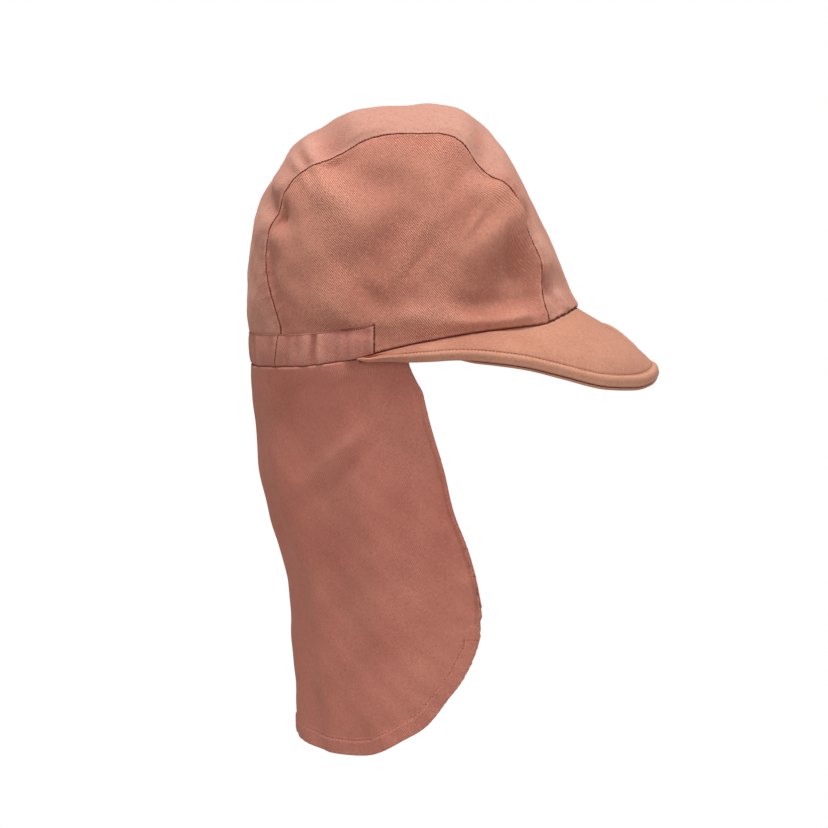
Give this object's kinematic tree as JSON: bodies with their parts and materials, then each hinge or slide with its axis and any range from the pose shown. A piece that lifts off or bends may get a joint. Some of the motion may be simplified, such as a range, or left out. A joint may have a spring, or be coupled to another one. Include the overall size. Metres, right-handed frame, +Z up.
{
  "type": "legionnaire cap",
  "caption": "Child's legionnaire cap in cotton twill: domed crown with a centre panel, elastic casing at the back, short soft peak and a long neck flap.",
  "frame": {"origin": "middle of the head opening, at the height of the hem's middle, where the cap sits on a head", "axes": "+X towards the peak, +Y to the wearer's left, +Z up"},
  "size_m": [0.2226, 0.1681, 0.3448],
  "materials": {
    "crown_twill": "terracotta cotton twill, soft and creased",
    "casing_twill": "the same twill, gathered over elastic and topstitched",
    "peak_twill": "the same twill over a soft filling, with one row of topstitching",
    "flap_twill": "the same twill, single, with a folded and stitched border"
  },
  "bodies": {
    "root": {"side_panel_right": "crown_twill", "side_panel_left": "crown_twill", "centre_panel": "crown_twill", "back_casing": "casing_twill", "peak_top": "peak_twill", "peak_under": "peak_twill", "neck_flap": "flap_twill"}
  },
  "joints": []
}
